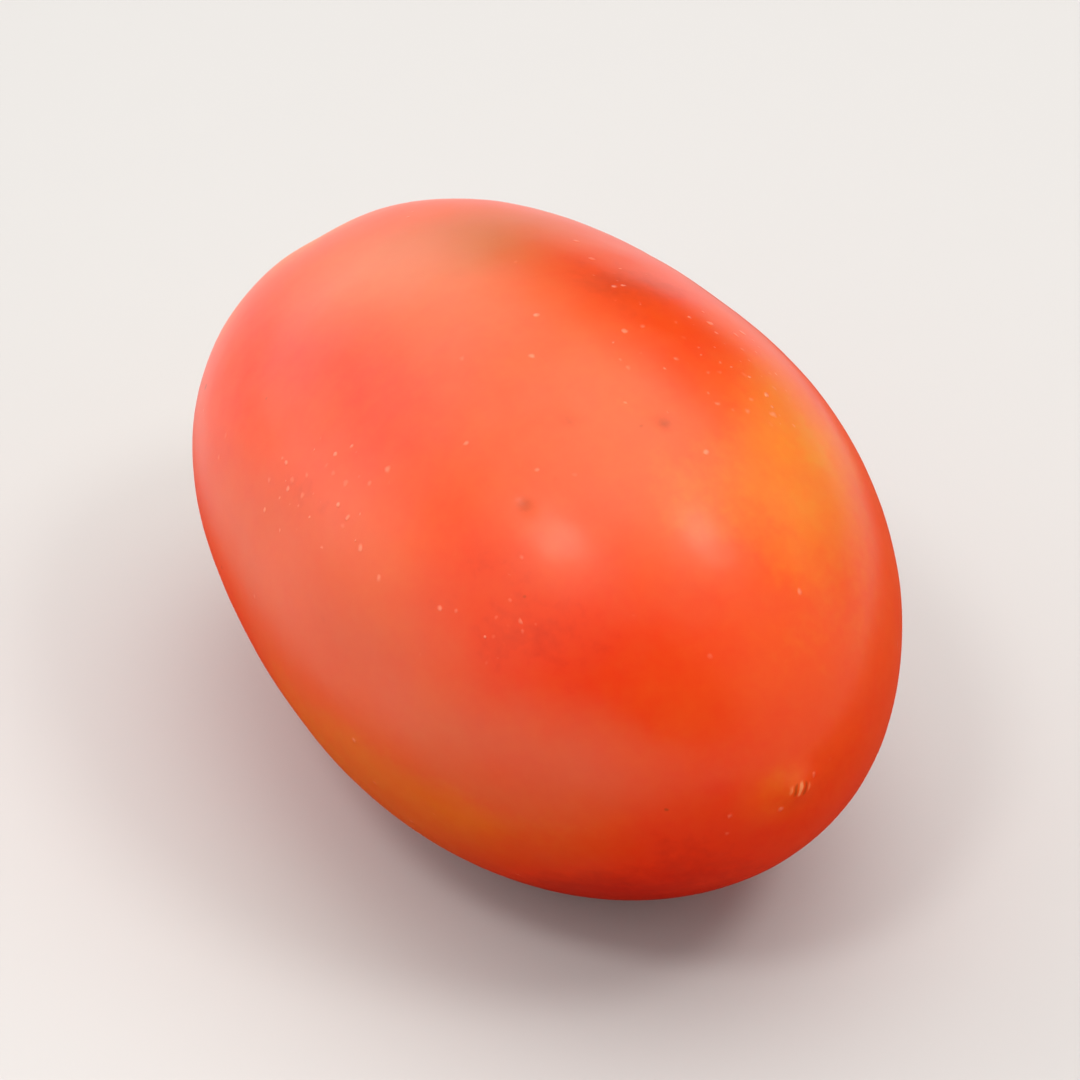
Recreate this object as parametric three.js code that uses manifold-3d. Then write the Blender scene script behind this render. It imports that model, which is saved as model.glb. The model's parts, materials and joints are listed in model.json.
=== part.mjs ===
// A ripe plum tomato, picked and lying on its side on a small flat spot.
//
// Units are millimetres and +Z is up. The fruit's axis lies along X, with the blossom end at +X and
// the stem end at -X. The origin is on the surface that it rests on, under the middle of its box.
//
// One closed skin is made by a formula in two angles: "polar" runs from the blossom end (0) over the
// belly to the stem end (pi), and "around" turns about the axis, from +Y (0) up to +Z (pi / 2).

import * as THREE from "three";
import { mergeVertices } from "three/addons/utils/BufferGeometryUtils.js";
import Module from "manifold-3d";

// Driving dimensions of the plain body
const HALF_LENGTH = 37.2; // centre to either end, before the ends are hollowed
const HALF_WIDTH = 24.3; // centre to the belly's skin
const MEAN_POWER = 2.12; // 2 would be an ellipsoid
const POWER_CHANGE = 0.21; // blunter than the mean at the stem end, more pointed at the blossom end
const TAPER = 0.078; // the blossom half is that much fuller than the stem half

// Three broad lobes, one for each seed chamber, strongest on the stem end's shoulders
const LOBES = 3;
const LOBE_HEIGHT = 0.02; // as a share of the local radius
const LOBE_ANGLE = THREE.MathUtils.degToRad(38.6);
const SHOULDER_POLAR = THREE.MathUtils.degToRad(142);
const SHOULDER_SPREAD = THREE.MathUtils.degToRad(30);
const BELLY_LOBE_SHARE = 0.3; // what is left of the lobes on the belly

// The section is a little oval, more so on the shoulders
const OVAL_ANGLE = THREE.MathUtils.degToRad(36);
const BELLY_OVALNESS = 0.006;
const SHOULDER_OVALNESS = 0.012;

// The axis is bowed a little, so that no two sides are the same
const BOW_HEIGHT = 0.9;
const BOW_ANGLE = THREE.MathUtils.degToRad(126);

// Furrows between the lobes, which run out of the stem hollow over the shoulders
const FURROW_DEPTH = 0.75;
const FURROW_WIDTH = THREE.MathUtils.degToRad(14);
const FURROW_POLAR = THREE.MathUtils.degToRad(158);
const FURROW_SPREAD = THREE.MathUtils.degToRad(19);

// The stem end: a shallow hollow with a round corky scar in it
const HOLLOW_DEPTH = 2.9;
const HOLLOW_RADIUS = 6.8;
const SCAR_RADIUS = 2.4;
const SCAR_HEIGHT = 0.45;
const SCAR_EDGE = 0.35;
const PIT_DEPTH = 0.55;
const PIT_RADIUS = 0.9;

// The blossom end: a little nipple, where the flower sat
const NIPPLE_HEIGHT = 0.35;
const NIPPLE_RADIUS = 1.5;

// How the fruit lies
const PITCH = THREE.MathUtils.degToRad(-3.6); // the blossom end lies a little higher, as it balances
const FLAT_DEPTH = 0.3; // how much of the belly the flat spot takes

// How finely the skin is divided
const STEPS_AROUND = 72;
const STEPS_ALONG = 52;
const POLE_CROWDING = 0.55; // rings lie closer together at the two ends

const SKIN_COLOUR = 0xe2401c;
const SKIN_ROUGHNESS = 0.28;

/** A smooth bump: 1 at the middle, falling to 0 a few spreads away. */
function bump(distance, spread) {
  return Math.exp(-((distance / spread) ** 2));
}

/** A smooth step down: 1 well inside the radius, 0 well outside it. */
function plateau(distance, radius, edge) {
  return 1 / (1 + Math.exp((distance - radius) / edge));
}

/** The angle to the nearest furrow between two lobes. */
function angleToFurrow(around) {
  const pitch = (2 * Math.PI) / LOBES;
  const fromLobe = THREE.MathUtils.euclideanModulo(around - LOBE_ANGLE, pitch);
  return fromLobe - pitch / 2;
}

/** The distance from the axis at one place of the skin, and the distance along it. */
function bodyProfile(polar) {
  const power = MEAN_POWER - POWER_CHANGE * Math.cos(polar);
  const alongShare = (Math.abs(Math.cos(polar)) / HALF_LENGTH) ** power;
  const acrossShare = (Math.sin(polar) / HALF_WIDTH) ** power;
  const reach = (alongShare + acrossShare) ** (-1 / power);
  return {
    along: reach * Math.cos(polar),
    across: reach * Math.sin(polar) * (1 + TAPER * Math.cos(polar)),
  };
}

/** How far the lobes and the oval section push the skin outwards, as a share of the radius. */
function lobeSwell(polar, around) {
  const onShoulder = bump(polar - SHOULDER_POLAR, SHOULDER_SPREAD);
  const onBelly = Math.sin(polar) ** 2;
  const lobeShare = Math.max(onShoulder, BELLY_LOBE_SHARE * onBelly);
  const lobes = LOBE_HEIGHT * lobeShare * Math.cos(LOBES * (around - LOBE_ANGLE));
  const ovalness = SHOULDER_OVALNESS * onShoulder + BELLY_OVALNESS * onBelly;
  return lobes + ovalness * Math.cos(2 * (around - OVAL_ANGLE));
}

/** How far the stem end is pushed in, at a distance from the axis. */
function stemHollow(across) {
  const hollow = HOLLOW_DEPTH * bump(across, HOLLOW_RADIUS);
  const scar = SCAR_HEIGHT * plateau(across, SCAR_RADIUS, SCAR_EDGE);
  const pit = PIT_DEPTH * bump(across, PIT_RADIUS);
  return hollow - scar + pit;
}

/** One point of the skin. */
function skinPoint(polar, around) {
  const { along, across } = bodyProfile(polar);
  const furrow =
    FURROW_DEPTH * bump(angleToFurrow(around), FURROW_WIDTH) * bump(polar - FURROW_POLAR, FURROW_SPREAD);
  const radius = across * (1 + lobeSwell(polar, around)) - furrow * Math.sin(polar);
  const atStem = polar > Math.PI / 2;
  const shift = atStem ? stemHollow(across) : NIPPLE_HEIGHT * bump(across, NIPPLE_RADIUS);
  const bow = BOW_HEIGHT * (1 - 2 * (along / HALF_LENGTH) ** 2);
  return new THREE.Vector3(
    along + shift,
    radius * Math.cos(around) + bow * Math.cos(BOW_ANGLE),
    radius * Math.sin(around) + bow * Math.sin(BOW_ANGLE),
  );
}

/** A geometry as a solid, its doubled corners merged. */
function solidOf(wasm, geometry) {
  geometry.deleteAttribute("normal");
  geometry.deleteAttribute("uv");
  const merged = mergeVertices(geometry);
  return new wasm.Manifold(
    new wasm.Mesh({
      numProp: 3,
      vertProperties: new Float32Array(merged.attributes.position.array),
      triVerts: new Uint32Array(merged.index.array),
    }),
  );
}

/** A solid as a geometry with flat facets. */
function geometryOf(solid) {
  const { vertProperties, triVerts } = solid.getMesh();
  const geometry = new THREE.BufferGeometry();
  geometry.setAttribute("position", new THREE.BufferAttribute(new Float32Array(vertProperties), 3));
  geometry.setIndex(new THREE.BufferAttribute(new Uint32Array(triVerts), 1));
  geometry.computeVertexNormals();
  return geometry;
}

/** The closed skin: a sphere whose every corner is moved to its place on the fruit. */
function skinGeometry() {
  const sphere = new THREE.SphereGeometry(1, STEPS_AROUND, STEPS_ALONG);
  sphere.rotateZ(-Math.PI / 2); // its poles on the X axis
  const corners = sphere.attributes.position;
  const direction = new THREE.Vector3();
  for (let i = 0; i < corners.count; i += 1) {
    direction.fromBufferAttribute(corners, i);
    const even = Math.acos(THREE.MathUtils.clamp(direction.x, -1, 1));
    const polar = even - (POLE_CROWDING / 2) * Math.sin(2 * even);
    const around = Math.atan2(direction.z, direction.y);
    const place = skinPoint(polar, around);
    corners.setXYZ(i, place.x, place.y, place.z);
  }
  sphere.rotateY(PITCH);
  return sphere;
}

/** The fruit with its flat spot cut, standing on z = 0 with its box's middle over the origin. */
function fruitGeometry(wasm) {
  const skin = skinGeometry();
  skin.computeBoundingBox();
  const lowest = skin.boundingBox.min.z;
  const size = 4 * HALF_LENGTH;
  const below = new THREE.BoxGeometry(size, size, size);
  below.translate(0, 0, lowest + FLAT_DEPTH - size / 2);
  const fruit = geometryOf(solidOf(wasm, skin).subtract(solidOf(wasm, below)));
  fruit.computeBoundingBox();
  const middle = fruit.boundingBox.getCenter(new THREE.Vector3());
  return fruit.translate(-middle.x, -middle.y, -fruit.boundingBox.min.z);
}

const wasm = await Module();
wasm.setup();

const skinMaterial = new THREE.MeshStandardMaterial({
  color: SKIN_COLOUR,
  roughness: SKIN_ROUGHNESS,
  metalness: 0,
  flatShading: true,
});

const tomato = new THREE.Mesh(fruitGeometry(wasm), skinMaterial);
tomato.name = "tomato";

const part = new THREE.Group();
part.add(tomato);

export default part;
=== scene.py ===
"""A ripe plum tomato, picked and lying on its side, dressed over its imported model.

The fruit is one piece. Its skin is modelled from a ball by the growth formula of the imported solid,
gets the small unevenness, dents, cork and wrinkles that the solid leaves out, and then the finish
of a wiped, half-waxy tomato skin. Sizes of the fruit are in millimetres in the classes below, in
its own axes: X runs along the fruit to the blossom end. Blender's own units are metres.
"""

import json
import logging
import math
from dataclasses import dataclass
from enum import Enum
from functools import partial

import bpy
import numpy as np
from bpy.types import Material, NodeSocket, NodeTree, Object
from mathutils import Matrix, Vector, noise

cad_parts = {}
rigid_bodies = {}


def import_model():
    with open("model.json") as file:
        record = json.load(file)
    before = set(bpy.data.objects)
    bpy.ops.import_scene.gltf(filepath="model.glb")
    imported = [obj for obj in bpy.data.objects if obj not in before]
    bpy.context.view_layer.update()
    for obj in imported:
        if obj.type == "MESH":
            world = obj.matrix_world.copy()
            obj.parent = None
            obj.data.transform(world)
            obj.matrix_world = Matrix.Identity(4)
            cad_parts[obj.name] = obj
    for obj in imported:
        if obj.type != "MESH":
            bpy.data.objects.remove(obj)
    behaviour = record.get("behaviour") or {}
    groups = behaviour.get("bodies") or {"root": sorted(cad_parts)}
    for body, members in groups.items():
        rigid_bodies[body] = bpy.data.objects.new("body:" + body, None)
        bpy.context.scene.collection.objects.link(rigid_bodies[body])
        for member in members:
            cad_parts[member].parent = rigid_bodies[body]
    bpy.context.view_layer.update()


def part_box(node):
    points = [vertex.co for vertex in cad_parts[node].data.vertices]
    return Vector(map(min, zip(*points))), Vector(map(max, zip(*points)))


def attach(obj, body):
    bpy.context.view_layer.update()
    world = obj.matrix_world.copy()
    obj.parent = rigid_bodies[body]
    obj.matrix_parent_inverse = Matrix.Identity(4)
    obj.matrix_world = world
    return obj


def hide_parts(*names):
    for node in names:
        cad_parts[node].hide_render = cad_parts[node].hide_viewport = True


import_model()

MM = 0.001  # one millimetre in metres
log = logging.getLogger("tomato")


def linear(hex_colour: str) -> tuple[float, float, float, float]:
    """Turns an sRGB hex colour into the linear colour, with alpha, that a shader takes.

    Args:
        hex_colour: Six hex digits after a hash sign.

    Returns:
        Linear red, green and blue, and an alpha of 1.
    """
    channels = [int(hex_colour[i : i + 2], 16) / 255 for i in (1, 3, 5)]
    # The numbers are those of the sRGB standard.
    bright = [c / 12.92 if c <= 0.04045 else ((c + 0.055) / 1.055) ** 2.4 for c in channels]
    return (*bright, 1.0)


def add_node(
    tree: NodeTree, kind: str, inputs: dict[str | int, object], output: str = "", **settings: object
) -> NodeSocket | None:
    """Adds one node with its settings, values and links.

    Args:
        tree: The node tree that takes the node.
        kind: Blender's name for the type of node, without its "ShaderNode" start.
        inputs: A value or another node's output for each input, by its name or number.
        output: The name of the output that is wanted, or else it is the first one in use.
        **settings: Attributes of the node, such as its operation.

    Returns:
        The wanted output, or None from a node without one. Its node attribute is the node.
    """
    node = tree.nodes.new("ShaderNode" + kind)
    for name, value in settings.items():
        setattr(node, name, value)
    for key, value in inputs.items():
        found = [s for s in node.inputs if s.enabled and s.name == key] or [node.inputs[key]]
        if isinstance(value, NodeSocket):
            tree.links.new(value, found[0])
        else:
            found[0].default_value = value
    in_use = [s for s in node.outputs if s.enabled and output in ("", s.name)]
    return in_use[0] if in_use else None


def bump(distance: np.ndarray, spread: float) -> np.ndarray:
    """Gives a smooth bump: 1 at the middle, falling to 0 a few spreads away."""
    return np.exp(-((distance / spread) ** 2))


def plateau(distance: np.ndarray, radius: float, edge: float) -> np.ndarray:
    """Gives a smooth step down: 1 well inside the radius, 0 well outside it."""
    return 1 / (1 + np.exp((distance - radius) / edge))


def smooth_step(value: np.ndarray, zero: float, one: float) -> np.ndarray:
    """Gives a smooth step between the value at which it is 0 and the one at which it is 1."""
    share = np.clip((value - zero) / (one - zero), 0, 1)
    return share * share * (3 - 2 * share)


def cloud(points: np.ndarray, grain: float, octaves: int = 2) -> np.ndarray:
    """Gives random values of about -0.7 to 0.7.

    Args:
        points: Rows of X, Y and Z.
        grain: The distance over which the values change.
        octaves: How many finer layers there are.

    Returns:
        One value for each point.
    """
    return np.array([noise.fractal(Vector(point), 1.0, 2.0, octaves) for point in points / grain])


def direction(azimuth: float, elevation: float) -> Vector:
    """Gives the way from the fruit to a lamp or camera.

    Args:
        azimuth: Degrees round the fruit, 0 in front at -Y and 90 at +X.
        elevation: Degrees above the floor.

    Returns:
        A vector of length one.
    """
    turn, rise = math.radians(azimuth), math.radians(elevation)
    level = math.cos(rise)
    return Vector((math.sin(turn) * level, -math.cos(turn) * level, math.sin(rise)))


def select_only(obj: Object) -> None:
    """Deselects everything, then selects one object and makes it the active one.

    Args:
        obj: The object to work on next.
    """
    bpy.ops.object.select_all(action="DESELECT")
    obj.select_set(True)
    bpy.context.view_layer.objects.active = obj


@dataclass(frozen=True)
class FruitForm:
    """The fruit's skin as a formula in two angles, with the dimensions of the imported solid.

    "polar" runs from the blossom end (0) over the belly to the stem end (pi), and "around" turns
    about the axis, from +Y (0) up to +Z (pi / 2). Lengths are in millimetres.
    """

    half_length: float = 37.2
    half_width: float = 24.3
    mean_power: float = 2.12  # 2 would be an ellipse, and more is blunter
    power_change: float = 0.21  # blunter by this at the stem end
    taper: float = 0.078  # fuller by this towards the blossom end
    lobes: int = 3
    lobe_height: float = 0.02
    lobe_angle: float = math.radians(38.6)
    shoulder_polar: float = math.radians(142)
    shoulder_spread: float = math.radians(30)
    belly_lobe_share: float = 0.3
    oval_angle: float = math.radians(36)
    belly_ovalness: float = 0.006
    shoulder_ovalness: float = 0.012
    bow_height: float = 0.9
    bow_angle: float = math.radians(126)
    furrow_depth: float = 0.75
    furrow_width: float = math.radians(14)
    furrow_polar: float = math.radians(158)
    furrow_spread: float = math.radians(19)
    hollow_depth: float = 2.9
    hollow_radius: float = 6.8
    scar_radius: float = 2.4
    scar_height: float = 0.45
    scar_edge: float = 0.35
    pit_depth: float = 0.55
    pit_radius: float = 0.9
    nipple_height: float = 0.35
    nipple_radius: float = 1.5
    pitch: float = math.radians(-3.6)
    flat_depth: float = 0.3

    def profile(self, polar: np.ndarray) -> tuple[np.ndarray, np.ndarray]:
        """Gives the plain body's outline.

        Args:
            polar: Angles from the blossom end.

        Returns:
            The distances along the axis and from the axis.
        """
        power = self.mean_power - self.power_change * np.cos(polar)
        along_share = (np.abs(np.cos(polar)) / self.half_length) ** power
        across_share = (np.abs(np.sin(polar)) / self.half_width) ** power
        reach = (along_share + across_share) ** (-1 / power)
        return reach * np.cos(polar), reach * np.sin(polar) * (1 + self.taper * np.cos(polar))

    def lobe_swell(self, polar: np.ndarray, around: np.ndarray) -> np.ndarray:
        """Gives how far lobes and ovalness push the skin out.

        Args:
            polar: Angles from the blossom end.
            around: Angles about the axis.

        Returns:
            The swell at each pair of angles, as a share of the radius.
        """
        on_shoulder = bump(polar - self.shoulder_polar, self.shoulder_spread)
        on_belly = np.sin(polar) ** 2
        lobe_share = np.maximum(on_shoulder, self.belly_lobe_share * on_belly)
        lobes = self.lobe_height * lobe_share * np.cos(self.lobes * (around - self.lobe_angle))
        ovalness = self.shoulder_ovalness * on_shoulder + self.belly_ovalness * on_belly
        return lobes + ovalness * np.cos(2 * (around - self.oval_angle))

    def furrow(self, polar: np.ndarray, around: np.ndarray) -> np.ndarray:
        """Gives the depth of the furrows that run out of the stem hollow between the lobes.

        Args:
            polar: Angles from the blossom end.
            around: Angles about the axis.

        Returns:
            The depth at each pair of angles.
        """
        spacing = 2 * math.pi / self.lobes
        off_furrow = np.mod(around - self.lobe_angle, spacing) - spacing / 2
        on_shoulder = bump(polar - self.furrow_polar, self.furrow_spread)
        return self.furrow_depth * bump(off_furrow, self.furrow_width) * on_shoulder

    def stem_hollow(self, across: np.ndarray) -> np.ndarray:
        """Gives how far the stem end is pushed in.

        Args:
            across: Distances from the axis.

        Returns:
            The depth at each distance, less where the round scar stands up in the hollow.
        """
        hollow = self.hollow_depth * bump(across, self.hollow_radius)
        scar = self.scar_height * plateau(across, self.scar_radius, self.scar_edge)
        return hollow - scar + self.pit_depth * bump(across, self.pit_radius)

    def place(self, polar: np.ndarray, around: np.ndarray) -> np.ndarray:
        """Gives the skin's points in the fruit's own axes.

        Args:
            polar: Angles from the blossom end.
            around: Angles about the axis.

        Returns:
            One row of X, Y and Z for each pair of angles.
        """
        along, across = self.profile(polar)
        radius = across * (1 + self.lobe_swell(polar, around))
        radius = radius - self.furrow(polar, around) * np.sin(polar)
        nipple = self.nipple_height * bump(across, self.nipple_radius)
        shift = np.where(polar > math.pi / 2, self.stem_hollow(across), nipple)
        bow = self.bow_height * (1 - 2 * (along / self.half_length) ** 2)
        y = radius * np.cos(around) + bow * math.cos(self.bow_angle)
        z = radius * np.sin(around) + bow * math.sin(self.bow_angle)
        return np.stack([along + shift, y, z], axis=-1)

    def spot(self, polar: float, around: float) -> tuple[Vector, Matrix]:
        """Finds one place of the skin, and which way the skin lies there.

        Args:
            polar: Degrees from the blossom end.
            around: Degrees about the axis.

        Returns:
            The place, and a turn whose X runs along the fruit, Y about it and Z out of the skin.
        """
        step = 0.01  # radians, small enough for the skin to be flat over it
        p, a = math.radians(polar), math.radians(around)
        angles = np.array([[p, a], [p + step, a], [p, a + step]])
        here, on, beside = (Vector(row) for row in self.place(angles[:, 0], angles[:, 1]))
        lengthwise = (on - here).normalized()
        outward = lengthwise.cross(beside - here).normalized()
        if outward.dot(here) < 0:
            outward.negate()
        crosswise = outward.cross(lengthwise)
        return here, Matrix((lengthwise, crosswise, outward)).transposed()


@dataclass(frozen=True)
class Dent:
    """A shallow press mark, or a wart where the depth is below 0, by its place in degrees.

    Radius and depth are in millimetres, and the shade is how much darker its skin is, as painted
    shade in the dent.
    """

    polar: float
    around: float
    radius: float
    depth: float
    shade: float = 0.0


@dataclass(frozen=True)
class SoftFlat:
    """A place where the skin grew against another fruit and is a little flatter."""

    polar: float
    around: float
    depth: float


@dataclass(frozen=True)
class SkinRelief:
    """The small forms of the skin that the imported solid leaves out, in millimetres."""

    dents: tuple[Dent, ...] = (
        Dent(polar=50, around=86, radius=0.6, depth=0.12, shade=0.5),
        Dent(polar=53, around=91, radius=1.2, depth=-0.08),
        Dent(polar=51, around=120, radius=0.6, depth=0.12, shade=0.4),
        Dent(polar=61, around=99, radius=1.25, depth=-0.08),
        Dent(polar=58, around=102, radius=0.6, depth=0.05, shade=0.35),
        Dent(polar=96, around=160, radius=3.2, depth=0.12),
        Dent(polar=78, around=15, radius=2.8, depth=0.18),
        Dent(polar=120, around=-35, radius=3.4, depth=0.16),
        Dent(polar=66, around=-70, radius=2.6, depth=0.14),
        Dent(polar=105, around=5, radius=0.8, depth=0.12, shade=0.5),
        Dent(polar=72, around=-18, radius=0.9, depth=-0.1),
        Dent(polar=88, around=-120, radius=0.7, depth=0.12, shade=0.5),
    )
    flats: tuple[SoftFlat, ...] = (
        SoftFlat(polar=98, around=118, depth=0.16),
        SoftFlat(polar=62, around=170, depth=0.2),
        SoftFlat(polar=112, around=28, depth=0.22),
        SoftFlat(polar=70, around=-40, depth=0.2),
    )
    flat_edge: float = 0.3  # how softly a flat runs out
    wrinkle_counts: tuple[int, ...] = (11, 17, 26)
    wrinkle_height: float = 0.055
    wrinkle_ring: float = 4.6
    wrinkle_spread: float = 2.4
    wrinkle_sway: float = 1 / 9  # radians that a wrinkle strays from its even place

    def near(self, dent: Dent, points: np.ndarray, form: FruitForm) -> np.ndarray:
        """Gives 1 in the middle of a dent, falling to 0 outside it."""
        centre, _ = form.spot(dent.polar, dent.around)
        return bump(np.linalg.norm(points - np.array(centre), axis=1), dent.radius)

    def flatten(self, points: np.ndarray, form: FruitForm) -> np.ndarray:
        """Draws the skin in to a plane at each soft flat, with a soft edge.

        Args:
            points: Rows of X, Y and Z in the fruit's own axes.
            form: The fruit's form.

        Returns:
            The points, moved.
        """
        for flat in self.flats:
            centre, turn = form.spot(flat.polar, flat.around)
            outward = np.array(turn.col[2])
            proud = (points - np.array(centre)) @ outward + flat.depth
            cut = self.flat_edge * np.logaddexp(0, proud / self.flat_edge)
            points = points - cut[:, None] * outward
        return points

    def height(self, polar: np.ndarray, around: np.ndarray, form: FruitForm) -> np.ndarray:
        """Gives how far the small forms stand out of the skin.

        Args:
            polar: Angles from the blossom end.
            around: Angles about the axis.
            form: The fruit's form.

        Returns:
            Heights out of the skin, below 0 in a dent.
        """
        points = form.place(polar, around)
        result = np.zeros(len(points))
        for dent in self.dents:
            result -= dent.depth * self.near(dent, points, form)
        _, across = form.profile(polar)
        near_scar = bump(across - self.wrinkle_ring, self.wrinkle_spread) * (polar > math.pi / 2)
        for count in self.wrinkle_counts:
            wave = np.cos(count * (around + self.wrinkle_sway * np.sin(2 * around)))
            result += self.wrinkle_height * near_scar * wave / math.sqrt(len(self.wrinkle_counts))
        return result


@dataclass(frozen=True)
class Patch:
    """A stretch of skin that differs, by its place in degrees and its size in millimetres.

    ripeness is added to the skin's ripeness, green and wax are shares of an olive tinge and of dull
    wax, and flecks is the share of possible places that hold a pale speck. Some patches paint light
    through these fields: ripeness darkens the underside as painted shade, the olive tinge is painted
    shade on the crown and painted shade and reflection on the lower flank, and the wax's paler
    colour is painted reflection on the lower flank and belly.
    """

    name: str
    polar: float
    around: float
    length: float
    width: float
    ripeness: float = 0.0
    green: float = 0.0
    wax: float = 0.0
    flecks: float = 0.0


@dataclass(frozen=True)
class SkinPattern:
    """The slow changes over the skin, as one value of each field for each point of the mesh.

    They are made by formula in the fruit's own axes. Lengths are in millimetres.
    """

    patches: tuple[Patch, ...] = (
        Patch("sunny streak", 35, 59, 52, 38, ripeness=-0.18),
        Patch("core of the sunny streak", 43, 58, 31, 19, ripeness=-0.15, wax=0.3),
        Patch("warm belly", 64, 86, 34, 22, ripeness=-0.07),
        Patch("red belly", 34, 140, 30, 22, ripeness=0.04),
        Patch("upper end of the sunny streak", 60, 59, 18, 12, green=0.05, flecks=0.8),
        # Painted shade and painted reflection: a dull ochre-olive strip along the lower flank.
        Patch("ochre flank with painted shade and reflection", 57, 203, 54, 27, ripeness=-0.31, green=0.24),
        Patch("olive shoulder", 118, 96, 38, 30, ripeness=-0.04, green=0.36, wax=0.3),
        # Painted shade: an olive tinge darkens the crown.
        Patch("crown darkened as painted shade", 97, 73, 42, 23, ripeness=0.02, green=0.18),
        Patch("red crown", 68, 70, 30, 17, ripeness=0.12, flecks=0.4),
        Patch("orange back", 96, -28, 54, 30, ripeness=-0.38),
        Patch("tip smudge", 3, -175, 9, 8, ripeness=-0.17),
        Patch("red flank", 108, 140, 44, 36, ripeness=0.05),
        # Painted shade: the underside is darkened towards deep red.
        Patch("underside darkened as painted shade", 48, 244, 66, 44, ripeness=0.26),
        # Wax, whose pale colour here is also painted reflection: a hazy pale band along the lower
        # flank.
        Patch("wax and painted reflection on the flank", 84, 164, 62, 32, wax=0.75),
        Patch("thin wax on the belly", 56, 130, 40, 26, wax=0.25),
        # Wax, whose pale colour here is also painted reflection: the pale band carries on along the
        # lower belly.
        Patch("wax and painted reflection on the lower belly", 34, 172, 32, 17, wax=0.6),
        Patch("wax on the crown", 60, 98, 48, 27, wax=0.5),
        Patch("wax on the back", 80, 5, 56, 30, wax=0.6),
        Patch("flecks on the flank", 90, 145, 19, 12, flecks=0.75),
        Patch("flecks on the belly", 41, 141, 13, 10, flecks=0.7),
        Patch("flecks on the back", 84, 20, 16, 10, flecks=0.8),
    )
    seed: int = 1795810692  # without one, Blender's vector noise starts from the clock
    patch_depth: float = 14.0  # keeps a patch off the far side of the fruit
    patch_core: float = 0.25  # share of a patch's reach that has its full strength
    # Bends, mottling, smudging and fray give the size and then the strength of each layer.
    bends: tuple[tuple[float, float], ...] = ((15.0, 3.2), (3.5, 0.5))
    bent_width: float = 24.0  # narrower patches are bent less
    unripe_reach: tuple[float, float] = (0.0, 21.0)
    stem_ripeness: float = 0.1
    belly_ripeness: float = 0.77
    streaks_in_radian: float = 4.5
    streak_length: float = 40.0
    streak_reach: float = 3.2
    mottling: tuple[tuple[float, float], ...] = ((9.0, 0.08), (2.6, 0.03))
    smudging: tuple[tuple[float, float], ...] = ((9.0, 0.14), (2.4, 0.05))
    scar_fray: tuple[float, float] = (1.3, 0.3)
    # Each field with its outer and inner edge, in scar radii.
    scar_edges: tuple[tuple[str, float, float], ...] = (
        ("rim", 1.9, 1.0),
        ("cork", 1.14, 0.92),
        ("core", 0.75, 0.3),
    )

    def fields(
        self, points: np.ndarray, form: FruitForm, relief: SkinRelief
    ) -> dict[str, np.ndarray]:
        """Gives every field.

        Args:
            points: Rows of X, Y and Z in the fruit's own axes.
            form: The fruit's form.
            relief: The skin's small forms.

        Returns:
            The values at the points, by the name of the field.
        """
        noise.seed_set(self.seed)
        bend = np.zeros_like(points)
        for grain, reach in self.bends:
            drift = [noise.noise_vector(Vector(point)) for point in points / grain]
            bend += reach * np.array(drift)
        fields = {name: np.zeros(len(points)) for name in ("ripeness", "green", "wax", "flecks")}
        fields["ripeness"] = self.ripening(points + bend, form)
        for patch in self.patches:
            share = self.share(patch, points + bend * min(1, patch.width / self.bent_width), form)
            for name, field in fields.items():
                field += getattr(patch, name) * share
            log.debug("%s is laid on", patch.name)
        for name, layers in (("ripeness", self.mottling), ("wax", self.smudging)):
            for grain, strength in layers:
                fields[name] += strength * cloud(points, grain)
        # The darker skin in the dents is painted shade.
        near_dents = (dent.shade * relief.near(dent, points, form) for dent in relief.dents)
        fields["shade"] = sum(near_dents)
        shares = {name: np.clip(values, 0, 1) for name, values in fields.items()}
        return shares | self.scar(points, form)

    def ripening(self, places: np.ndarray, form: FruitForm) -> np.ndarray:
        """Gives the ripeness that rises from the stem end, in ragged streaks along the fruit.

        Args:
            places: Rows of X, Y and Z, bent so that no edge is even.
            form: The fruit's form.

        Returns:
            The ripeness at each place, from 0 when green to 1 when deep red.
        """
        stem, _ = form.spot(180, 0)
        ring = places[:, 1:] / np.linalg.norm(places[:, 1:], axis=1)[:, None]
        drawn = np.column_stack([places[:, 0] / self.streak_length, ring * self.streaks_in_radian])
        off_stem = np.linalg.norm(places - np.array(stem), axis=1)
        ragged = off_stem + self.streak_reach * cloud(drawn, 1.0, 3)
        grown = smooth_step(ragged, *self.unripe_reach)
        return self.stem_ripeness + (self.belly_ripeness - self.stem_ripeness) * grown

    def share(self, patch: Patch, places: np.ndarray, form: FruitForm) -> np.ndarray:
        """Gives how much of a patch each place has.

        Args:
            patch: The patch.
            places: Rows of X, Y and Z, bent so that no edge is even.
            form: The fruit's form.

        Returns:
            1 in the middle of the patch, falling to 0 at its edge.
        """
        centre, turn = form.spot(patch.polar, patch.around)
        reach = np.array([patch.length / 2, patch.width / 2, self.patch_depth])
        own = (places - np.array(centre)) @ np.array(turn) / reach
        return smooth_step(np.linalg.norm(own, axis=1), 1.0, self.patch_core)

    def scar(self, points: np.ndarray, form: FruitForm) -> dict[str, np.ndarray]:
        """Gives the stem end's cork, its dark core and the pale skin that rims it.

        Args:
            points: Rows of X, Y and Z in the fruit's own axes.
            form: The fruit's form.

        Returns:
            The shares at the points, by the name of the field.
        """
        grain, reach = self.scar_fray
        stem, _ = form.spot(180, 0)
        off_axis = np.linalg.norm(points[:, 1:] - np.array(stem)[1:], axis=1)
        radii = (off_axis + reach * cloud(points, grain)) / form.scar_radius
        radii = np.where(points[:, 0] > 0, math.inf, radii)  # none at the blossom end
        return {name: smooth_step(radii, outer, inner) for name, outer, inner in self.scar_edges}


@dataclass(frozen=True)
class Unevenness:
    """One layer of random relief, in millimetres, laid on where its vertex group has weight.

    Real plates of cork are 0.1 to 0.3 mm wide, too fine to show, so they are drawn coarser.
    """

    name: str
    texture: str
    grain: float
    height: float
    group: str


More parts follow.
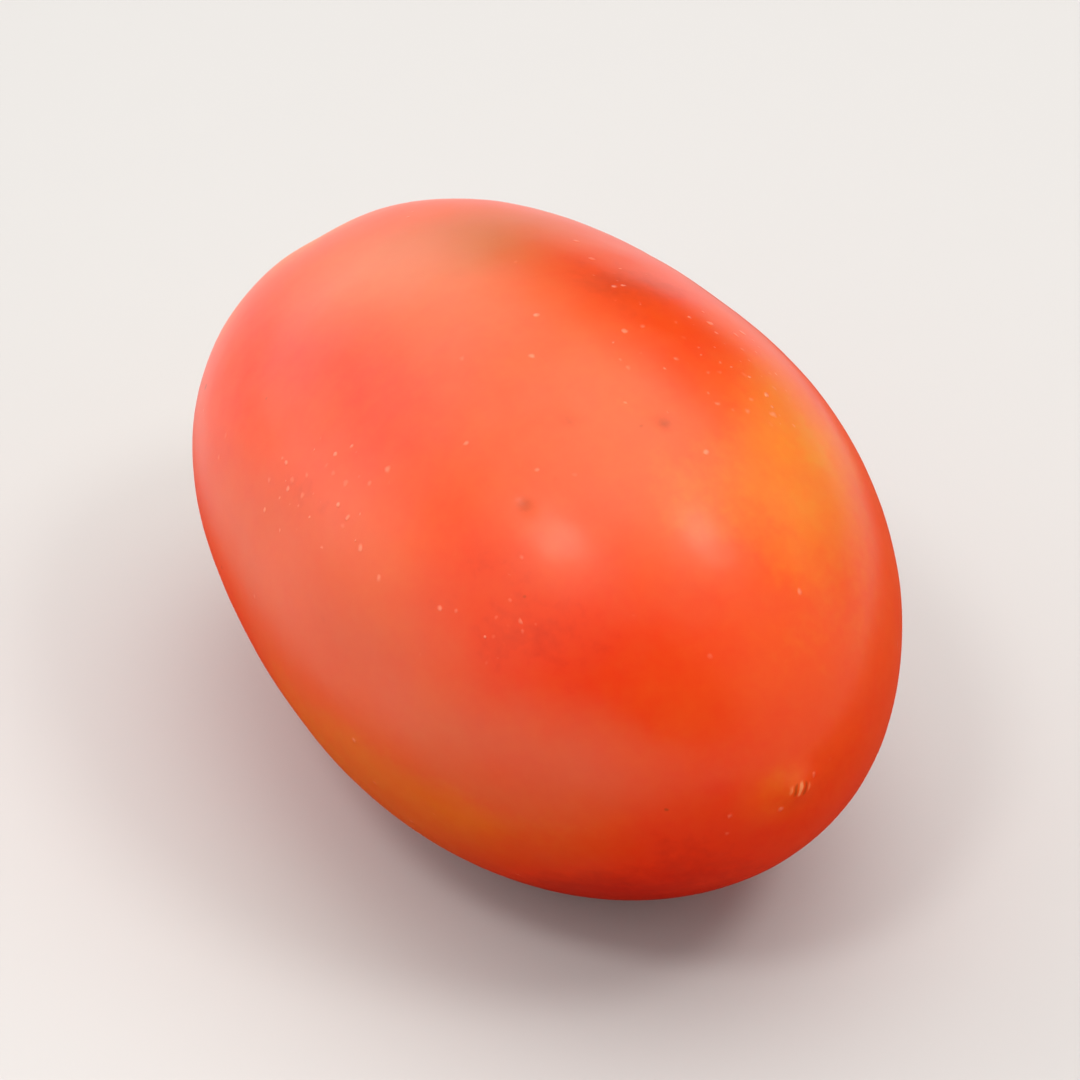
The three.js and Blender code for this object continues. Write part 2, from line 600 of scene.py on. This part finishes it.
@dataclass
class PlumTomato:
    """The fruit: a ball that is grown to its form, roughened, laid down and pressed flat."""

    form: FruitForm
    relief: SkinRelief
    pattern: SkinPattern
    name: str = "tomato_fruit"
    first_cuts: int = 1
    fine_cuts: int = 60
    pole_crowding: float = 0.66  # draws the points closer together at both ends
    floor_spot: tuple[float, float] = (1.0, 0.0)  # X and Y of the place it lies on
    floor_reach: float = 15.0  # how far round that place the skin stays even
    least_weight: float = 0.01
    rim_softening: float = 0.5  # of the edge of the flat spot
    rim_passes: int = 2
    survey_steps: tuple[int, int] = (181, 361)  # one point for each degree
    unevenness: tuple[Unevenness, ...] = (
        Unevenness("slow waves", "CLOUDS", grain=19.0, height=0.34, group="free_skin"),
        Unevenness("short waves", "CLOUDS", grain=5.5, height=0.045, group="free_skin"),
        Unevenness("ripples", "CLOUDS", grain=1.9, height=0.016, group="free_skin"),
        Unevenness("cork", "VORONOI", grain=0.85, height=0.34, group="scar_points"),
        Unevenness("cork grain", "CLOUDS", grain=0.4, height=0.16, group="scar_points"),
    )

    def build(self) -> Object:
        """Models the fruit.

        Returns:
            The finished piece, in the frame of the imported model.
        """
        fruit = self.rough_ball()
        self.grow(fruit)
        self.mark(fruit)
        self.roughen(fruit)
        self.lay_down(fruit)
        self.press_flat(fruit)
        self.fit_box(fruit)
        select_only(fruit)
        bpy.ops.object.shade_smooth()
        return fruit

    def rough_ball(self) -> Object:
        """Makes a ball of even quads, without poles, from a cube that is divided and rounded.

        Returns:
            The ball. Only the directions of its points count, because grow sets their places.
        """
        bpy.ops.object.select_all(action="DESELECT")
        bpy.ops.mesh.primitive_cube_add(size=2.0)
        ball = bpy.context.object
        ball.name = ball.data.name = self.name
        bpy.ops.object.mode_set(mode="EDIT")
        bpy.ops.mesh.select_all(action="SELECT")
        bpy.ops.mesh.subdivide(number_cuts=self.first_cuts)
        bpy.ops.mesh.subdivide(number_cuts=self.fine_cuts)
        bpy.ops.transform.tosphere(value=1.0)
        bpy.ops.object.mode_set(mode="OBJECT")
        return ball

    def grow(self, ball: Object) -> None:
        """Moves each point of the ball to its place on the fruit, in metres.

        Args:
            ball: The rough ball.
        """
        points = self.points_of(ball)
        points /= np.linalg.norm(points, axis=1)[:, None]
        even = np.arccos(np.clip(points[:, 0], -1, 1))
        polar = even - self.pole_crowding / 2 * np.sin(2 * even)
        around = np.arctan2(points[:, 2], points[:, 1])
        self.set_points(ball, self.form.place(polar, around) * MM)
        # The small forms stand straight out of the grown skin.
        normals = np.zeros(len(points) * 3, np.float32)
        ball.data.vertices.foreach_get("normal", normals)
        height = self.relief.height(polar, around, self.form)
        carved = self.points_of(ball) / MM + height[:, None] * normals.reshape(-1, 3)
        self.set_points(ball, self.relief.flatten(carved, self.form) * MM)
        self.weigh(ball, polar, around)

    def mark(self, fruit: Object) -> None:
        """Writes the fields of the skin's pattern on the mesh's points.

        Args:
            fruit: The grown fruit, still in its own axes.
        """
        fields = self.pattern.fields(self.points_of(fruit) / MM, self.form, self.relief)
        for name, values in fields.items():
            attribute = fruit.data.attributes.new(name, "FLOAT", "POINT")
            attribute.data.foreach_set("value", values.astype(np.float32))

    def weigh(self, fruit: Object, polar: np.ndarray, around: np.ndarray) -> None:
        """Marks the cork of the stem scar, and the skin that is clear of the floor.

        Args:
            fruit: The grown fruit.
            polar: Angle of each point from the blossom end.
            around: Angle of each point about the axis.
        """
        _, across = self.form.profile(polar)
        cork = plateau(across, self.form.scar_radius, self.form.scar_edge) * (polar > math.pi / 2)
        spot = np.array([*self.floor_spot, -self.form.half_width])
        off_spot = np.linalg.norm(self.form.place(polar, around) - spot, axis=1)
        free = (1 - cork) * (1 - bump(off_spot, self.floor_reach))
        for name, values in {"scar_points": cork, "free_skin": free}.items():
            group = fruit.vertex_groups.new(name=name)
            for index in np.flatnonzero(values > self.least_weight):
                group.add([int(index)], float(values[index]), "REPLACE")

    def roughen(self, fruit: Object) -> None:
        """Adds the layers of random relief and applies them.

        Args:
            fruit: The grown fruit, with its vertex groups.
        """
        select_only(fruit)
        for layer in self.unevenness:
            texture = bpy.data.textures.new(layer.name, layer.texture)
            texture.noise_scale = layer.grain * MM
            bpy.ops.object.modifier_add(type="DISPLACE")
            displace = fruit.modifiers[-1]
            displace.texture = texture
            displace.texture_coords = "LOCAL"
            displace.strength = layer.height * MM
            displace.vertex_group = layer.group
            bpy.ops.object.modifier_apply(modifier=displace.name)

    def lay_down(self, fruit: Object) -> None:
        """Tips the fruit to the pitch at which it lies."""
        fruit.data.transform(Matrix.Rotation(self.form.pitch, 4, "Y"))

    def press_flat(self, fruit: Object) -> None:
        """Presses the lowest skin flat, as the fruit's weight does, and softens the edge.

        Args:
            fruit: The fruit, tipped as it lies.
        """
        heights = self.points_of(fruit)[:, 2]
        level = float(heights.min() + self.form.flat_depth * MM)
        select_only(fruit)
        bpy.ops.object.mode_set(mode="EDIT")
        bpy.ops.mesh.select_mode(type="VERT")
        bpy.ops.mesh.select_all(action="DESELECT")
        bpy.ops.object.mode_set(mode="OBJECT")
        fruit.data.vertices.foreach_set("select", heights < level)
        bpy.ops.object.mode_set(mode="EDIT")
        bpy.ops.transform.resize(value=(1, 1, 0), center_override=(0, 0, level))
        bpy.ops.mesh.select_more()
        bpy.ops.mesh.vertices_smooth(
            factor=self.rim_softening, repeat=self.rim_passes, xaxis=False, yaxis=False
        )
        bpy.ops.object.mode_set(mode="OBJECT")

    def fit_box(self, fruit: Object) -> None:
        """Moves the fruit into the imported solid's box, and sizes it to that box.

        Args:
            fruit: The fruit, pressed flat.
        """
        low, high = (np.array(corner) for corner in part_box("tomato"))
        points = self.points_of(fruit)
        own_low, own_high = points.min(axis=0), points.max(axis=0)
        log.info("fitted to the box by a factor of %s", (high - low) / (own_high - own_low))
        self.set_points(fruit, low + (points - own_low) * (high - low) / (own_high - own_low))

    def axis_origin(self) -> Vector:
        """Finds the origin of the fruit's own axes.

        Returns:
            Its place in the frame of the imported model, in metres.
        """
        rows, columns = (count * 1j for count in self.survey_steps)
        angles = np.mgrid[0 : math.pi : rows, 0 : 2 * math.pi : columns]
        tip = np.array(Matrix.Rotation(self.form.pitch, 3, "Y"))
        laid = self.form.place(*(grid.ravel() for grid in angles)) @ tip.T
        low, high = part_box("tomato")
        middle = (low + high) / 2 - Vector(laid.min(axis=0) + laid.max(axis=0)) / 2 * MM
        rise = (laid[:, 2].min() + self.form.flat_depth) * MM
        return Vector((middle.x, middle.y, low.z - rise))

    @staticmethod
    def points_of(obj: Object) -> np.ndarray:
        """Reads the points of a mesh.

        Args:
            obj: The object that has the mesh.

        Returns:
            Rows of X, Y and Z.
        """
        flat = np.zeros(len(obj.data.vertices) * 3, np.float32)
        obj.data.vertices.foreach_get("co", flat)
        return flat.reshape(-1, 3).astype(float)

    @staticmethod
    def set_points(obj: Object, points: np.ndarray) -> None:
        """Moves a mesh's points to new places."""
        obj.data.vertices.foreach_set("co", points.astype(np.float32).ravel())
        obj.data.update()


class Ripeness(Enum):
    """The colours that the skin passes through as it ripens, each with its share of ripening."""

    GREEN_WHITE = (0.0, "#c9c690")
    YELLOW_GREEN = (0.12, "#c0b03a")
    YELLOW = (0.27, "#e29f2a")
    ORANGE = (0.45, "#ec771c")
    ORANGE_RED = (0.66, "#ea4e13")
    RED = (0.84, "#e7370d")
    # The underside is darkened to this colour as painted shade.
    DEEP_RED = (1.0, "#bd1005")


@dataclass(frozen=True)
class CuticleFinish:
    """Tomato cuticle: a thin, clear plant skin with a film of wax, grown and wiped by handling.

    The eye sees the flesh's colour through it, a soft gloss with dull waxy smudges, pale raised
    flecks and a few dark pores. Some of this colour is painted light: the wax's paler colour is
    partly painted reflection, the flecks' pale colour partly a painted glint, and the darker skin in
    the dents painted shade. A cover is the share of the colour below that a mark hides.
    Lengths are in millimetres.
    """

    # The olive tinge is partly the skin's own colour; on the crown it is painted shade, and on the
    # lower flank painted shade and painted reflection.
    olive: str = "#7c6822"
    # Wax is thin and broken where hands and crates wiped it, so it dulls more than it hides. Its
    # pale colour is partly painted reflection, a hazy sheen laid into the colour.
    wax: str = "#c79870"
    wax_and_sheen_cover: float = 0.32
    # Flecks are corky specks up to 0.6 mm wide. Those under 0.2 mm wouldn't show and aren't drawn.
    # The flecks' pale pink colour is partly a painted glint on their raised tops.
    fleck_and_glint: str = "#ff9f7c"
    fleck_cover: float = 0.6
    fleck_spacing: float = 1.0
    fleck_radius: float = 0.3
    fleck_chance: float = 0.02
    fleck_rise: float = 0.06
    # Pores are dried specks about half a millimetre wide, one or two in a square centimetre.
    pore: str = "#8c3c1a"
    pore_cover: float = 0.6
    pore_spacing: float = 4.2
    pore_radius: float = 0.26
    pore_chance: float = 0.3
    spot_fray: tuple[float, float] = (0.6, 0.14)  # size and reach of the bends in an outline
    spot_growth: float = 0.35  # size of the smallest spot, as a share of the radius
    spot_core: float = 0.25  # share of a spot that has its full colour
    faintest_spot: float = 0.2
    # Painted shade: the darker skin in small dents.
    dent: str = "#8a3a1e"
    # Cork is dead, dry and cracked. Its plates are about 0.2 mm wide, too fine to show, so the
    # cracks are drawn 0.55 mm apart.
    cork: str = "#8a6f44"
    cork_rise: float = 0.25
    cork_crack: str = "#3f2c18"
    crack_cover: float = 0.7
    crack_grain: float = 0.55
    crack_edges: tuple[float, float] = (0.52, 0.3)
    core_cover: float = 0.65
    scar_rim: str = "#cdb98a"
    rim_cover: float = 0.7
    # The dried flower leaves strokes about half a millimetre wide on the tip.
    stroke_light: str = "#ffab70"
    stroke_light_cover: float = 0.7
    stroke_dark: str = "#93400f"
    stroke_dark_cover: float = 0.55
    stroke_pitch: float = 0.92
    stroke_reach: tuple[float, float] = (1.25, 0.85)  # across the strokes and along them
    stroke_turn: float = math.radians(-11.5)
    stroke_fade: tuple[float, float] = (0.55, 1.0)  # shares of the reach where they fade
    stroke_edges: tuple[float, float] = (0.25, 0.95)
    # The cells of the flesh are 0.2 to 0.4 mm wide, too fine to show, so it is mottled at 0.9 mm.
    mottle_grain: float = 0.9
    mottle: float = 0.1
    ior: float = 1.45
    roughness: float = 0.29
    wax_roughness: float = 0.1
    cork_roughness: float = 0.85
    coat: float = 0.08
    coat_roughness: float = 0.2
    reflection_level: float = 0.38
    reflection_tint: str = "#ffdfca"
    # Light goes a few millimetres into the wet flesh, red the deepest.
    scatter: float = 0.22
    scatter_colour: tuple[float, float, float] = (1.0, 0.32, 0.16)
    scatter_depth: float = 2.6


class CuticleMaterial:
    """Builds the skin's material, layer by layer, in the fruit's own axes and in millimetres."""

    def __init__(self, finish: CuticleFinish, form: FruitForm, origin: Vector) -> None:
        """Starts an empty material.

        Args:
            finish: The colours, sizes and gloss of the skin.
            form: The fruit's form, for its pitch and the place of its tip.
            origin: Where the fruit's own axes start, in metres.
        """
        self.finish = finish
        self.form = form
        self.material = bpy.data.materials.new("tomato_cuticle")
        self.material.use_nodes = True
        self.material.node_tree.nodes.clear()
        self.add = partial(add_node, self.material.node_tree)
        coordinates = self.add("TexCoord", {}, output="Object")
        axes = {"Location": origin, "Rotation": (0, form.pitch, 0), "Scale": (MM, MM, MM)}
        self.place = self.add("Mapping", {"Vector": coordinates, **axes}, vector_type="TEXTURE")
        self.frayed = self.fray(*finish.spot_fray)
        self.fields = {
            name: self.add("Attribute", {}, output="Fac", attribute_name=name)
            for name in ("ripeness", "green", "wax", "flecks", "shade", "rim", "cork", "core")
        }

    def fray(self, grain: float, reach: float) -> NodeSocket:
        """Shifts places at random, so that the outline of a small mark is uneven.

        Args:
            grain: Size of the bends, in millimetres.
            reach: Largest shift, in millimetres.

        Returns:
            The shifted places.
        """
        bends = {"Vector": self.place, "Scale": 1 / grain, "Detail": 0.0}
        jitter = self.add("TexNoise", bends, output="Color")
        centred = self.add("VectorMath", {0: jitter, 1: (0.5, 0.5, 0.5)}, operation="SUBTRACT")
        terms = {0: centred, 1: (2 * reach, 2 * reach, 2 * reach), 2: self.place}
        return self.add("VectorMath", terms, operation="MULTIPLY_ADD")

    def speckles(self, spacing: float, radius: float, chance: float | NodeSocket) -> NodeSocket:
        """Scatters small spots over the skin.

        Args:
            spacing: Mean distance between places for a spot, in millimetres.
            radius: Radius of a spot, in millimetres.
            chance: The share of the places that hold a spot.

        Returns:
            1 on a spot and 0 elsewhere.
        """
        finish, outer = self.finish, radius / spacing
        cells = self.add("TexVoronoi", {"Vector": self.frayed, "Scale": 1 / spacing}).node.outputs
        draws = self.add("SeparateColor", {"Color": cells["Color"]}).node.outputs
        held = self.add("Math", {0: draws["Red"], 1: chance}, operation="LESS_THAN")
        growth = self.add("Math", {0: draws["Green"], 1: finish.spot_growth}, operation="ADD")
        off = self.add("Math", {0: cells["Distance"], 1: growth}, operation="DIVIDE")
        inner = outer * finish.spot_core
        limits = {"From Min": inner, "From Max": outer, "To Min": 1.0, "To Max": 0.0}
        spot = self.add("MapRange", {"Value": off, **limits}, interpolation_type="SMOOTHSTEP")
        terms = {0: draws["Blue"], 1: 1 - finish.faintest_spot, 2: finish.faintest_spot}
        varied = self.add("Math", terms, operation="MULTIPLY_ADD")
        faint = self.add("Math", {0: spot, 1: varied}, operation="MULTIPLY")
        return self.add("Math", {0: faint, 1: held}, operation="MULTIPLY")

    def tip_strokes(self) -> tuple[NodeSocket, NodeSocket]:
        """Gives the pale and the dark strokes of the dried flower's mark at the blossom end.

        Returns:
            The share of the pale strokes, and that of the dark ones between them.
        """
        finish = self.finish
        centre, _ = self.form.spot(0, 0)
        wide, high = finish.stroke_reach
        turn = (finish.stroke_turn, 0, 0)
        axes = {"Location": centre, "Rotation": turn, "Scale": (wide, wide, high)}
        own = self.add("Mapping", {"Vector": self.frayed, **axes}, vector_type="TEXTURE")
        off = self.add("VectorMath", {0: own}, operation="LENGTH")
        whole, gone = finish.stroke_fade
        limits = {"From Min": whole, "From Max": gone, "To Min": 1.0, "To Max": 0.0}
        near = self.add("MapRange", {"Value": off, **limits}, interpolation_type="SMOOTHSTEP")
        aside = self.add("SeparateXYZ", {"Vector": own}, output="Y")
        turns = 2 * math.pi * wide / finish.stroke_pitch
        phase = self.add("Math", {0: aside, 1: turns}, operation="MULTIPLY")
        wave = self.add("Math", {0: phase}, operation="COSINE")
        start, full = finish.stroke_edges
        sharp = {"From Min": start, "From Max": full}
        shares = []
        for sign in (1.0, -1.0):
            signed = self.add("Math", {0: wave, 1: sign}, operation="MULTIPLY")
            line = self.add("MapRange", {"Value": signed, **sharp}, interpolation_type="SMOOTHSTEP")
            shares.append(self.add("Math", {0: line, 1: near}, operation="MULTIPLY"))
        return tuple(shares)

    def flesh(self) -> NodeSocket:
        """Gives the colour of the flesh as it shows through the skin, before any small marks.

        Returns:
            The colour.
        """
        finish = self.finish
        cells = {"Vector": self.place, "Scale": 1 / finish.mottle_grain, "Detail": 2.0}
        mottle = self.add("TexNoise", cells)
        centred = self.add("Math", {0: mottle, 1: 0.5}, operation="SUBTRACT")
        # The ripeness also carries painted shade: it is raised towards deep red on the underside.
        terms = {0: centred, 1: finish.mottle, 2: self.fields["ripeness"]}
        colour = self.add("ValToRGB", {"Fac": self.add("Math", terms, operation="MULTIPLY_ADD")})
        ramp = colour.node.color_ramp
        for stage in Ripeness:
            share, shade = stage.value
            ends = {0.0: ramp.elements[0], 1.0: ramp.elements[-1]}
            (ends.get(share) or ramp.elements.new(share)).color = linear(shade)
        return colour

    def build(self) -> Material:
        """Puts the layers together.

        Returns:
            The finished material.
        """
        finish, fields = self.finish, self.fields
        chance = self.add("Math", {0: fields["flecks"], 1: finish.fleck_chance}, operation="ADD")
        flecks = self.speckles(finish.fleck_spacing, finish.fleck_radius, chance)
        pores = self.speckles(finish.pore_spacing, finish.pore_radius, finish.pore_chance)
        pale_strokes, dark_strokes = self.tip_strokes()
        grain = {"Vector": self.place, "Scale": 1 / finish.crack_grain, "Detail": 2.0}
        plates = self.add("TexNoise", grain)
        crust = self.add("Math", {0: plates, 1: fields["cork"]}, operation="MULTIPLY")
        shallow, deep = finish.crack_edges
        limits = {"From Min": shallow, "From Max": deep, "To Min": 0.0, "To Max": 1.0}
        gaps = self.add("MapRange", {"Value": crust, **limits}, interpolation_type="SMOOTHSTEP")
        cracks = self.add("Math", {0: gaps, 1: fields["cork"]}, operation="MULTIPLY")
        colour = self.flesh()
        # Painted light among the marks: the olive tinge is partly painted shade and reflection, the
        # wax's pale colour partly painted reflection, the dents' darker colour painted shade and the
        # flecks' pale colour partly a painted glint.
        marks = (
            (fields["green"], 1.0, finish.olive),
            (fields["wax"], finish.wax_and_sheen_cover, finish.wax),
            (fields["shade"], 1.0, finish.dent),
            (flecks, finish.fleck_cover, finish.fleck_and_glint),
            (pores, finish.pore_cover, finish.pore),
            (dark_strokes, finish.stroke_dark_cover, finish.stroke_dark),
            (pale_strokes, finish.stroke_light_cover, finish.stroke_light),
            (fields["rim"], finish.rim_cover, finish.scar_rim),
            (fields["cork"], 1.0, finish.cork),
            (fields["core"], finish.core_cover, finish.cork_crack),
            (cracks, finish.crack_cover, finish.cork_crack),
        )
        for share, strength, shade in marks:
            amount = self.add("Math", {0: share, 1: strength}, operation="MULTIPLY")
            tones = {"Factor": amount, "A": colour, "B": linear(shade)}
            colour = self.add("Mix", tones, data_type="RGBA")
        crust_rise = self.add("Math", {0: crust, 1: finish.cork_rise}, operation="MULTIPLY")
        rises = {0: flecks, 1: finish.fleck_rise, 2: crust_rise}
        height = self.add("Math", rises, operation="MULTIPLY_ADD")
        shader = self.add(
            "BsdfPrincipled",
            {
                "Base Color": colour,
                "Roughness": self.gloss(),
                "IOR": finish.ior,
                "Specular IOR Level": finish.reflection_level,
                "Specular Tint": linear(finish.reflection_tint),
                "Subsurface Weight": finish.scatter,
                "Subsurface Radius": finish.scatter_colour,
                "Subsurface Scale": finish.scatter_depth * MM,
                "Coat Weight": finish.coat,
                "Coat Roughness": finish.coat_roughness,
                "Normal": self.add("Bump", {"Height": height, "Distance": MM, "Strength": 1.0}),
            },
        )
        self.add("OutputMaterial", {"Surface": shader})
        return self.material

    def gloss(self) -> NodeSocket:
        """Gives the roughness: wiped skin, dull waxy smudges and rough cork.

        Returns:
            The roughness.
        """
        finish = self.finish
        terms = {0: self.fields["wax"], 1: finish.wax_roughness, 2: finish.roughness}
        skin = self.add("Math", terms, operation="MULTIPLY_ADD")
        ends = {"Factor": self.fields["cork"], "A": skin, "B": finish.cork_roughness}
        return self.add("Mix", ends)


@dataclass(frozen=True)
class PaperFinish:
    """Matt studio paper: pulp that is pressed and dried without a coat, so it has no gloss.

    Close to the fruit, the light that comes back from it is that of a dim warm card, so that the
    fruit's rims keep their colour. The camera sees only the paper. Lengths are in metres.
    """

    colour: str = "#c9c6c2"
    cloud: str = "#b8b5b0"
    cloud_cover: float = 0.04
    # Clouds of pulp are 1 to 3 mm wide, too fine to show, so they are drawn 7 mm wide.
    clouds_in_metre: float = 140.0
    card: str = "#ba553c"
    card_centre: tuple[float, float, float] = (0.02, 0.025, 0.0)
    card_edges: tuple[float, float] = (0.074, 0.1)  # where it starts to fade and where it ends
    roughness: float = 0.9
    reflection_level: float = 0.1

    def build(self) -> Material:
        """Makes the paper's material.

        Returns:
            The finished material.
        """
        material = bpy.data.materials.new("matt_paper")
        material.use_nodes = True
        material.node_tree.nodes.clear()
        add = partial(add_node, material.node_tree)
        place = add("TexCoord", {}, output="Object")
        pulp = add("TexNoise", {"Vector": place, "Scale": self.clouds_in_metre, "Detail": 2.0})
        share = add("MapRange", {"Value": pulp, "To Min": 0.0, "To Max": self.cloud_cover})
        tones = {"Factor": share, "A": linear(self.colour), "B": linear(self.cloud)}
        paper = add("Mix", tones, data_type="RGBA")
        off_card = add("VectorMath", {0: place, 1: self.card_centre}, operation="DISTANCE")
        near, far = self.card_edges
        limits = {"From Min": near, "From Max": far}
        open_paper = add("MapRange", {"Value": off_card, **limits}, interpolation_type="SMOOTHSTEP")
        seen = add("Math", {0: add("LightPath", {}), 1: open_paper}, operation="MAXIMUM")
        tones = {"Factor": seen, "A": linear(self.card), "B": paper}
        looks = {
            "Base Color": add("Mix", tones, data_type="RGBA"),
            "Roughness": self.roughness,
            "Specular IOR Level": self.reflection_level,
        }
        add("OutputMaterial", {"Surface": add("BsdfPrincipled", looks)})
        return material


@dataclass(frozen=True)
class Softbox:
    """A soft lamp that faces the fruit, by its direction in degrees and its size in metres."""

    name: str
    azimuth: float
    elevation: float
    distance: float
    width: float
    height: float
    power: float
    colour: str = "#ffffff"


@dataclass(frozen=True)
class WallGlow:
    """A brighter or dimmer part of the pale surround, by its direction and reach in degrees."""

    name: str
    azimuth: float
    elevation: float
    inner: float
    outer: float
    strength: float


@dataclass(frozen=True)
class Studio:
    """A pale paper floor, soft lamps and a camera where the photograph's stood, in metres."""

    softboxes: tuple[Softbox, ...] = (
        Softbox("glow_lamp_left", 22, 61, 0.8, 0.17, 0.15, 1.1),
        Softbox("glow_lamp_right", 128, 59, 0.8, 0.22, 0.18, 1.1),
    )
    surround: str = "#f6f6f7"
    surround_strength: float = 0.91  # as the fruit mirrors it
    glows: tuple[WallGlow, ...] = (
        WallGlow("window side", -70, 15, inner=25, outer=50, strength=1.3),
        WallGlow("ceiling", -158, 72, inner=22, outer=33, strength=1.95),
        WallGlow("shade by the camera", 64, 14, inner=12, outer=42, strength=-0.8),
        WallGlow("shade behind", -157, 11, inner=29, outer=48, strength=-0.88),
    )
    paper: PaperFinish = PaperFinish()
    seen_strength: float = 0.95  # as the camera sees it
    floor_size: float = 6.0
    camera_azimuth: float = 57.85
    camera_elevation: float = 41.1
    camera_distance: float = 0.5
    view_width: float = 0.0882  # across the picture, at the fruit
    nearest_view: float = 0.01
    sensor: float = 36.0  # in millimetres

    def build(self, target: Vector) -> None:
        """Sets up the floor, the surround, the lamps and the camera.

        Args:
            target: The middle of the fruit.
        """
        self.floor()
        self.backdrop()
        for softbox in self.softboxes:
            self.hang(softbox, target)
        self.camera(target)
        bpy.context.scene.view_settings.view_transform = "Standard"

    def floor(self) -> None:
        """Lays the floor."""
        bpy.ops.object.select_all(action="DESELECT")
        bpy.ops.mesh.primitive_plane_add(size=self.floor_size)
        floor = bpy.context.object
        floor.name = "paper_floor"
        floor.data.materials.append(self.paper.build())

    def backdrop(self) -> None:
        """Surrounds the scene with pale walls, brighter on the window side and overhead."""
        world = bpy.data.worlds.new("pale_surround")
        bpy.context.scene.world = world
        world.use_nodes = True
        world.node_tree.nodes.clear()
        add = partial(add_node, world.node_tree)
        ray = add("TexCoord", {}, output="Generated")  # on a world, the way that light comes from
        strength = self.surround_strength
        for glow in self.glows:
            way = direction(glow.azimuth, glow.elevation)
            facing = add("VectorMath", {0: ray, 1: way}, operation="DOT_PRODUCT", label=glow.name)
            outer, inner = (math.cos(math.radians(reach)) for reach in (glow.outer, glow.inner))
            limits = {"From Min": outer, "From Max": inner}
            share = add("MapRange", {"Value": facing, **limits}, interpolation_type="SMOOTHSTEP")
            terms = {0: share, 1: glow.strength, 2: strength}
            strength = add("Math", terms, operation="MULTIPLY_ADD")
        seen = add("LightPath", {})
        power = add("Mix", {"Factor": seen, "A": strength, "B": self.seen_strength})
        shade = add("Background", {"Color": linear(self.surround), "Strength": power})
        add("OutputWorld", {"Surface": shade})

    def hang(self, softbox: Softbox, target: Vector) -> None:
        """Adds one lamp that faces the fruit and stays out of the picture.

        Args:
            softbox: The lamp's place, size and power.
            target: The middle of the fruit.
        """
        lamp = bpy.data.lights.new(softbox.name, "AREA")
        lamp.shape = "ELLIPSE"
        lamp.size = softbox.width
        lamp.size_y = softbox.height
        lamp.energy = softbox.power
        lamp.color = linear(softbox.colour)[:3]
        obj = bpy.data.objects.new(softbox.name, lamp)
        bpy.context.scene.collection.objects.link(obj)
        way = direction(softbox.azimuth, softbox.elevation)
        obj.location = target + way * softbox.distance
        obj.rotation_euler = way.to_track_quat("Z", "Y").to_euler()
        obj.visible_camera = False

    def camera(self, target: Vector) -> None:
        """Puts the camera at the photograph's angle and distance, with a closer view.

        Args:
            target: The middle of the fruit.
        """
        camera = bpy.data.cameras.new("camera")
        camera.sensor_width = self.sensor
        camera.lens = self.sensor * self.camera_distance / self.view_width
        camera.clip_start = self.nearest_view
        obj = bpy.data.objects.new("camera", camera)
        bpy.context.scene.collection.objects.link(obj)
        way = direction(self.camera_azimuth, self.camera_elevation)
        obj.location = target + way * self.camera_distance
        obj.rotation_euler = way.to_track_quat("Z", "Y").to_euler()
        bpy.context.scene.camera = obj


def main() -> None:
    """Builds the fruit and the studio, in order, and reports each piece."""
    logging.basicConfig(level=logging.INFO, format="%(name)s: %(message)s")
    form = FruitForm()
    tomato = PlumTomato(form, SkinRelief(), SkinPattern())
    fruit = tomato.build()
    skin = CuticleMaterial(CuticleFinish(), form, tomato.axis_origin())
    fruit.data.materials.clear()
    fruit.data.materials.append(skin.build())
    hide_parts("tomato")
    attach(fruit, "root")
    log.info("%s has %d faces, as one body", fruit.name, len(fruit.data.polygons))
    low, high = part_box("tomato")
    Studio().build((low + high) / 2)
    log.info("studio is set up")


if __name__ == "__main__":
    main()
